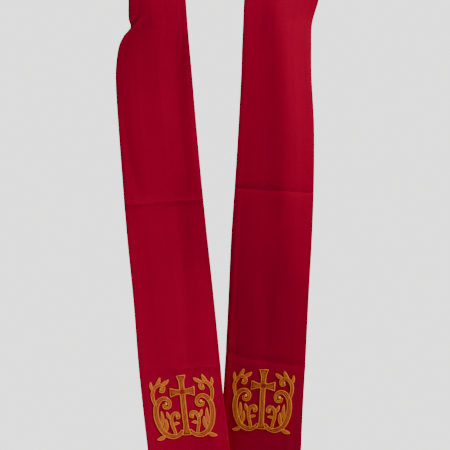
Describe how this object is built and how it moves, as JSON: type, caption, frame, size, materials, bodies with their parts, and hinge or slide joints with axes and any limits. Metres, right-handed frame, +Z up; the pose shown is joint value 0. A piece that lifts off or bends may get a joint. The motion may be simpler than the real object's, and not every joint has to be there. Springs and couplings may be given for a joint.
{
  "type": "clerical stole",
  "caption": "Long cloth stole in its worn form: two strips joined behind the neck hang over the shoulders down the front, each with a raised cross ornament near its hem.",
  "frame": {"origin": "middle of the base of the wearer's neck, level with the shoulders that the stole rests on", "axes": "+Z up, -Y the way the wearer faces, -X the wearer's right side"},
  "size_m": [0.3824, 0.2905, 1.1289],
  "materials": {
    "panel_right": "matte crimson cloth",
    "panel_left": "matte crimson cloth",
    "motif_right": "gold thread embroidery",
    "motif_left": "gold thread embroidery"
  },
  "bodies": {
    "root": {"panel_right": "panel_right", "panel_left": "panel_left", "motif_right": "motif_right", "motif_left": "motif_left"}
  },
  "joints": []
}
